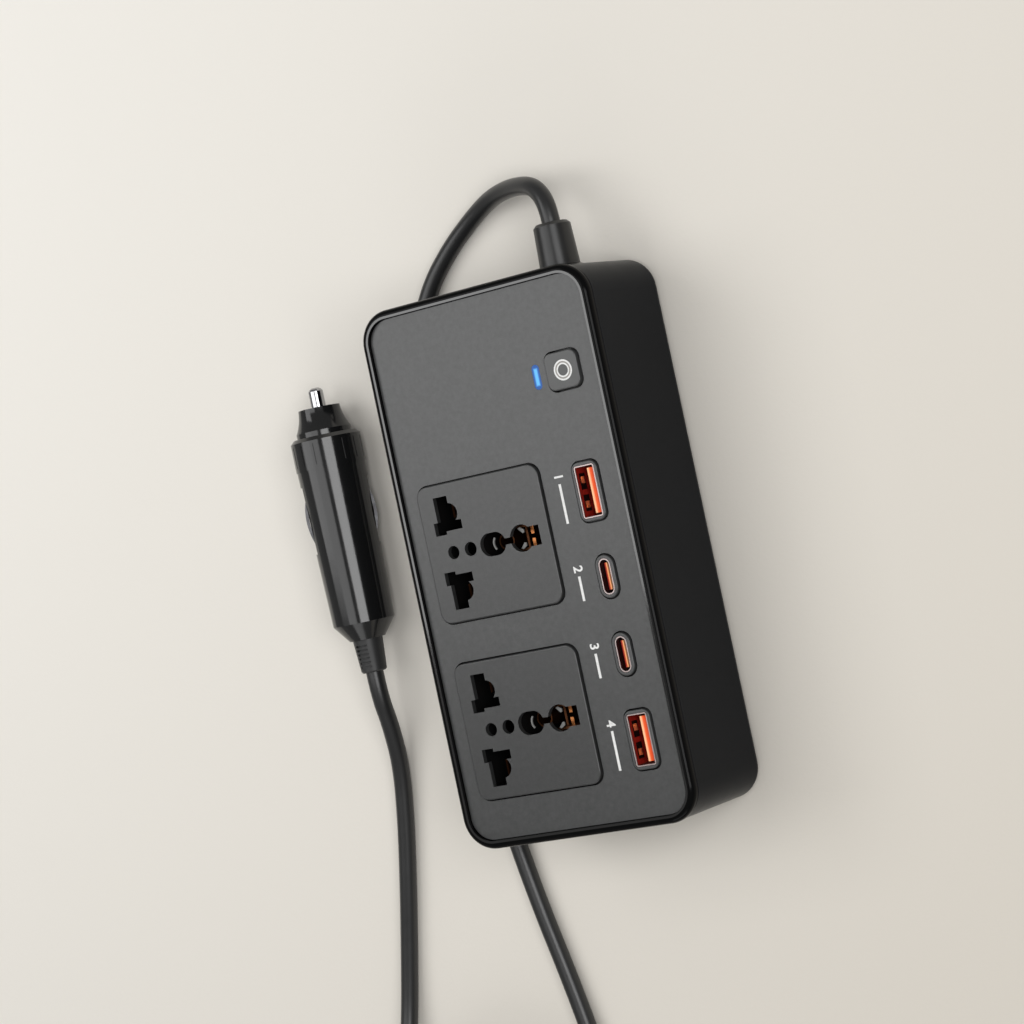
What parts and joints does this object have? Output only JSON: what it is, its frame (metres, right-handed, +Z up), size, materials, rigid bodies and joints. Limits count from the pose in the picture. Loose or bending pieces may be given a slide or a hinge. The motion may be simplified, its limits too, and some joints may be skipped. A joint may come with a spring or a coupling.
{
  "type": "car power inverter",
  "caption": "Flat box-shaped car power inverter with universal mains sockets, USB ports and a power button on its face, and a coiled cord that ends in a 12 V vehicle plug.",
  "frame": {"origin": "under the middle of the case, on the surface that its feet stand on", "axes": "+X towards the side of the USB ports, +Y towards the end that the cord leaves, +Z up out of the face"},
  "size_m": [0.1285, 0.286, 0.038],
  "materials": {
    "case_plastic": "fine moulded grain",
    "cover_plastic": "fine moulded grain",
    "panel_plastic": "fine moulded grain",
    "block_plastic": "moulded",
    "trim_plastic": "moulded",
    "button_plastic": "fine moulded grain",
    "port_steel": "plated",
    "port_insulator": "moulded",
    "contact_copper": "stamped",
    "foot_rubber": "moulded",
    "screw_steel": "plated",
    "board_laminate": "solder mask",
    "switch_plastic": "moulded",
    "ferrite": "sintered",
    "winding_copper": "enamelled wire",
    "sink_aluminium": "extruded",
    "capacitor_sleeve": "shrink sleeve",
    "fuse_plastic": "moulded",
    "fan_plastic": "moulded",
    "lamp_resin": "clear resin",
    "guide_resin": "frosted",
    "plug_plastic": "polished mould",
    "plug_metal": "nickel plated",
    "spring_steel": "drawn wire",
    "fuse_glass": "clear",
    "boot_rubber": "moulded",
    "cord_jacket": "smooth jacket",
    "tie_plastic": "woven strap"
  },
  "bodies": {
    "inverter": {"lower_case": "case_plastic", "top_cover": "cover_plastic", "face_panel": "panel_plastic", "socket_plate_1": "panel_plastic", "socket_plate_2": "panel_plastic", "socket_block_1": "block_plastic", "socket_block_2": "block_plastic", "usb_a_trim_1": "trim_plastic", "usb_a_trim_2": "trim_plastic", "usb_c_trim_1": "trim_plastic", "usb_c_trim_2": "trim_plastic", "usb_a_shell_1": "port_steel", "usb_a_shell_2": "port_steel", "usb_c_shell_1": "port_steel", "usb_c_shell_2": "port_steel", "usb_a_tongue_1": "port_insulator", "usb_a_tongue_2": "port_insulator", "usb_c_tongue_1": "port_insulator", "usb_c_tongue_2": "port_insulator", "live_contact_1": "contact_copper", "neutral_contact_1": "contact_copper", "earth_contact_1": "contact_copper", "live_contact_2": "contact_copper", "neutral_contact_2": "contact_copper", "earth_contact_2": "contact_copper", "rubber_feet": "foot_rubber", "case_screws": "screw_steel", "board_screws": "screw_steel", "usb_board": "board_laminate", "main_board": "board_laminate", "tact_switch": "switch_plastic", "power_transistors": "switch_plastic", "transformer_core": "ferrite", "filter_inductor": "ferrite", "transformer_winding": "winding_copper", "heat_sink": "sink_aluminium", "bulk_capacitor": "capacitor_sleeve", "input_capacitors": "capacitor_sleeve", "board_fuse": "fuse_plastic", "fan_frame": "fan_plastic", "status_lamp": "lamp_resin", "light_guide": "guide_resin", "plug_barrel": "plug_plastic", "plug_nose_cap": "plug_plastic", "plug_tip_spring": "spring_steel", "plug_boot": "boot_rubber", "strain_relief": "boot_rubber", "cord_exit_run": "cord_jacket", "cord_coil": "cord_jacket", "cord_plug_run": "cord_jacket", "input_leads": "cord_jacket", "cord_tie": "tie_plastic"},
    "button": {"power_button": "button_plastic", "switch_plunger": "switch_plastic"},
    "fan": {"fan_rotor": "fan_plastic"},
    "tip": {"plug_tip_contact": "plug_metal", "plug_fuse": "fuse_glass"},
    "side_right": {"plug_side_contact_right": "plug_metal"},
    "side_left": {"plug_side_contact_left": "plug_metal"}
  },
  "joints": [
    {"name": "power_button_press", "type": "slide", "parent": "inverter", "child": "button", "axis": [0, 0, -1], "range_m": [0, 0.0008], "stiffness_N_per_m": 2000},
    {"name": "fan_spin", "type": "hinge", "parent": "inverter", "child": "fan", "pos_m": [-0.003, -0.062, 0.0185], "axis": [0, 1, 0], "continuous": true},
    {"name": "tip_contact_press", "type": "slide", "parent": "inverter", "child": "tip", "axis": [0, -1, 0], "range_m": [0, 0.003], "stiffness_N_per_m": 1500, "deforming": ["plug_tip_spring"]},
    {"name": "side_contact_right_press", "type": "slide", "parent": "inverter", "child": "side_right", "axis": [-0.809, 0, 0.5878], "range_m": [0, 0.0009], "stiffness_N_per_m": 2000},
    {"name": "side_contact_left_press", "type": "slide", "parent": "inverter", "child": "side_left", "axis": [0.809, 0, -0.5878], "range_m": [0, 0.0009], "stiffness_N_per_m": 2000}
  ]
}
